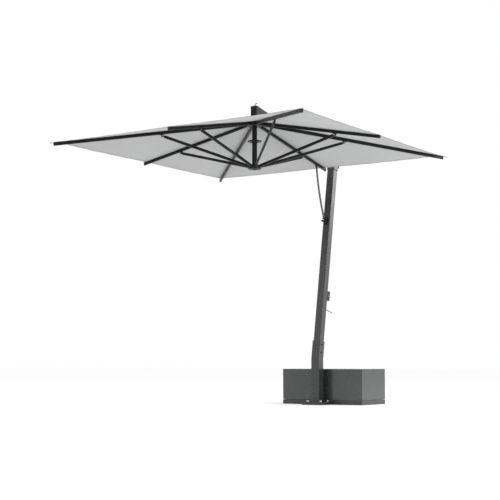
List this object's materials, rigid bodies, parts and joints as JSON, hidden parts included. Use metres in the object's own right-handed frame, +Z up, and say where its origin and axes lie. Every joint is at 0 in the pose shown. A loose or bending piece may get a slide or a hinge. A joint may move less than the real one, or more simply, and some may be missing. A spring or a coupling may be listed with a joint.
{
  "type": "cantilever parasol",
  "caption": "Cantilever parasol with a leaning mast, an overhead arm, a square fabric canopy on folding ribs and a weighted base under a box cover.",
  "frame": {"origin": "on the ground at the foot of the mast, on the mast's axis, at the underside of the base tray's tongue", "axes": "+Z up, +Y from the mast towards the weighted base, the canopy lies towards -Y, +X to the right when looking along +Y"},
  "size_m": [3.0734, 3.4967, 3.2697],
  "materials": {
    "frame_paint": "satin",
    "cover_paint": "satin",
    "alu_paint": "satin",
    "black_nylon": "matte",
    "steel": "satin",
    "concrete": "matte",
    "canopy_fabric": "matte"
  },
  "bodies": {
    "root": {"base_tray": "frame_paint", "concrete_slabs": "concrete", "base_cover": "cover_paint", "foot_plate": "frame_paint", "foot_bolts": "steel", "mast_sleeve": "frame_paint", "mast": "alu_paint", "mast_head": "frame_paint", "mast_bolts": "steel", "arm": "alu_paint", "arm_end_cap": "black_nylon", "head_block": "alu_paint", "head_hook": "alu_paint", "pulley_axle": "steel", "upper_hub": "black_nylon", "upper_hub_pins": "steel", "stay_bracket": "black_nylon", "winch_case": "black_nylon", "lever_bracket": "black_nylon"},
    "runner": {"centre_tube": "alu_paint", "centre_disc": "black_nylon", "lower_hub": "black_nylon", "lower_hub_pins": "steel", "hub_cap": "black_nylon"},
    "rib_right": {"rib_right": "alu_paint", "rib_fittings_right": "black_nylon", "canopy_gore_right": "canopy_fabric"},
    "strut_right": {"strut_right": "alu_paint"},
    "rib_rear_right": {"rib_rear_right": "alu_paint", "rib_fittings_rear_right": "black_nylon", "canopy_gore_rear_right": "canopy_fabric"},
    "strut_rear_right": {"strut_rear_right": "alu_paint"},
    "rib_rear": {"rib_rear": "alu_paint", "rib_fittings_rear": "black_nylon", "canopy_gore_rear": "canopy_fabric"},
    "strut_rear": {"strut_rear": "alu_paint"},
    "rib_rear_left": {"rib_rear_left": "alu_paint", "rib_fittings_rear_left": "black_nylon", "canopy_gore_rear_left": "canopy_fabric"},
    "strut_rear_left": {"strut_rear_left": "alu_paint"},
    "rib_left": {"rib_left": "alu_paint", "rib_fittings_left": "black_nylon", "canopy_gore_left": "canopy_fabric"},
    "strut_left": {"strut_left": "alu_paint"},
    "rib_front_left": {"rib_front_left": "alu_paint", "rib_fittings_front_left": "black_nylon", "canopy_gore_front_left": "canopy_fabric"},
    "strut_front_left": {"strut_front_left": "alu_paint"},
    "rib_front": {"rib_front": "alu_paint", "rib_fittings_front": "black_nylon", "canopy_gore_front": "canopy_fabric"},
    "strut_front": {"strut_front": "alu_paint"},
    "rib_front_right": {"rib_front_right": "alu_paint", "rib_fittings_front_right": "black_nylon", "canopy_gore_front_right": "canopy_fabric"},
    "strut_front_right": {"strut_front_right": "alu_paint"},
    "stay": {"stay_bar": "frame_paint"},
    "pulley": {"rope_pulley": "steel"},
    "winch": {"winch_drum": "steel"},
    "lever": {"release_lever": "frame_paint"}
  },
  "joints": [
    {"name": "lower_hub_slide", "type": "slide", "parent": "root", "child": "runner", "axis": [0, 0, -1], "range_m": [0, 1.4227]},
    {"name": "fold_right", "type": "hinge", "parent": "root", "child": "rib_right", "pos_m": [0.072, -1.3, 3.032], "axis": [0, 1, 0], "range_deg": [0, 68.42], "deforming": ["canopy_gore_right"]},
    {"name": "strut_swing_right", "type": "hinge", "parent": "rib_right", "child": "strut_right", "pos_m": [0.98679, -1.3, 2.81368], "axis": [0, -1, 0], "range_deg": [0, 134.65]},
    {"name": "fold_rear_right", "type": "hinge", "parent": "root", "child": "rib_rear_right", "pos_m": [0.05091, -1.24909, 3.032], "axis": [-0.7071, 0.7071, 0], "range_deg": [0, 67.47], "deforming": ["canopy_gore_rear_right"]},
    {"name": "strut_swing_rear_right", "type": "hinge", "parent": "rib_rear_right", "child": "strut_rear_right", "pos_m": [0.7058, -0.5942, 2.86827], "axis": [0.7071, -0.7071, 0], "range_deg": [0, 126.94]},
    {"name": "fold_rear", "type": "hinge", "parent": "root", "child": "rib_rear", "pos_m": [0, -1.228, 3.032], "axis": [-1, 0, 0], "range_deg": [0, 68.42], "deforming": ["canopy_gore_rear"]},
    {"name": "strut_swing_rear", "type": "hinge", "parent": "rib_rear", "child": "strut_rear", "pos_m": [0, -0.31321, 2.81368], "axis": [1, 0, 0], "range_deg": [0, 134.65]},
    {"name": "fold_rear_left", "type": "hinge", "parent": "root", "child": "rib_rear_left", "pos_m": [-0.05091, -1.24909, 3.032], "axis": [-0.7071, -0.7071, 0], "range_deg": [0, 67.47], "deforming": ["canopy_gore_rear_left"]},
    {"name": "strut_swing_rear_left", "type": "hinge", "parent": "rib_rear_left", "child": "strut_rear_left", "pos_m": [-0.7058, -0.5942, 2.86827], "axis": [0.7071, 0.7071, 0], "range_deg": [0, 126.94]},
    {"name": "fold_left", "type": "hinge", "parent": "root", "child": "rib_left", "pos_m": [-0.072, -1.3, 3.032], "axis": [0, -1, 0], "range_deg": [0, 68.42], "deforming": ["canopy_gore_left"]},
    {"name": "strut_swing_left", "type": "hinge", "parent": "rib_left", "child": "strut_left", "pos_m": [-0.98679, -1.3, 2.81368], "axis": [0, 1, 0], "range_deg": [0, 134.65]},
    {"name": "fold_front_left", "type": "hinge", "parent": "root", "child": "rib_front_left", "pos_m": [-0.05091, -1.35091, 3.032], "axis": [0.7071, -0.7071, 0], "range_deg": [0, 67.47], "deforming": ["canopy_gore_front_left"]},
    {"name": "strut_swing_front_left", "type": "hinge", "parent": "rib_front_left", "child": "strut_front_left", "pos_m": [-0.7058, -2.0058, 2.86827], "axis": [-0.7071, 0.7071, 0], "range_deg": [0, 126.94]},
    {"name": "fold_front", "type": "hinge", "parent": "root", "child": "rib_front", "pos_m": [0, -1.372, 3.032], "axis": [1, 0, 0], "range_deg": [0, 68.42], "deforming": ["canopy_gore_front"]},
    {"name": "strut_swing_front", "type": "hinge", "parent": "rib_front", "child": "strut_front", "pos_m": [0, -2.28679, 2.81368], "axis": [-1, 0, 0], "range_deg": [0, 134.65]},
    {"name": "fold_front_right", "type": "hinge", "parent": "root", "child": "rib_front_right", "pos_m": [0.05091, -1.35091, 3.032], "axis": [0.7071, 0.7071, 0], "range_deg": [0, 67.47], "deforming": ["canopy_gore_front_right"]},
    {"name": "strut_swing_front_right", "type": "hinge", "parent": "rib_front_right", "child": "strut_front_right", "pos_m": [0.7058, -2.0058, 2.86827], "axis": [-0.7071, -0.7071, 0], "range_deg": [0, 126.94]},
    {"name": "stay_swing", "type": "hinge", "parent": "rib_rear", "child": "stay", "pos_m": [0, 0.00809, 2.74775], "axis": [1, 0, 0], "range_deg": [0, 40.01]},
    {"name": "pulley_spin", "type": "hinge", "parent": "root", "child": "pulley", "pos_m": [0, -1.3, 3.189], "axis": [1, 0, 0], "continuous": true},
    {"name": "winch_spin", "type": "hinge", "parent": "root", "child": "winch", "pos_m": [0, 0.21007, 1.25331], "axis": [1, 0, 0], "continuous": true},
    {"name": "lever_lift", "type": "hinge", "parent": "root", "child": "lever", "pos_m": [0, 0.15957, 1.10465], "axis": [1, 0, 0], "range_deg": [0, 45]}
  ],
  "couplings": [
    {"joint": "fold_right", "follows": "lower_hub_slide", "rad_per_m": 0.83917},
    {"joint": "strut_swing_right", "follows": "lower_hub_slide", "rad_per_m": 1.6517},
    {"joint": "fold_rear_right", "follows": "lower_hub_slide", "rad_per_m": 0.82759},
    {"joint": "strut_swing_rear_right", "follows": "lower_hub_slide", "rad_per_m": 1.5571},
    {"joint": "fold_rear", "follows": "lower_hub_slide", "rad_per_m": 0.83917},
    {"joint": "strut_swing_rear", "follows": "lower_hub_slide", "rad_per_m": 1.6517},
    {"joint": "fold_rear_left", "follows": "lower_hub_slide", "rad_per_m": 0.82759},
    {"joint": "strut_swing_rear_left", "follows": "lower_hub_slide", "rad_per_m": 1.5571},
    {"joint": "fold_left", "follows": "lower_hub_slide", "rad_per_m": 0.83917},
    {"joint": "strut_swing_left", "follows": "lower_hub_slide", "rad_per_m": 1.6517},
    {"joint": "fold_front_left", "follows": "lower_hub_slide", "rad_per_m": 0.82759},
    {"joint": "strut_swing_front_left", "follows": "lower_hub_slide", "rad_per_m": 1.5571},
    {"joint": "fold_front", "follows": "lower_hub_slide", "rad_per_m": 0.83917},
    {"joint": "strut_swing_front", "follows": "lower_hub_slide", "rad_per_m": 1.6517},
    {"joint": "fold_front_right", "follows": "lower_hub_slide", "rad_per_m": 0.82759},
    {"joint": "strut_swing_front_right", "follows": "lower_hub_slide", "rad_per_m": 1.5571},
    {"joint": "stay_swing", "follows": "lower_hub_slide", "rad_per_m": 0.49071}
  ]
}
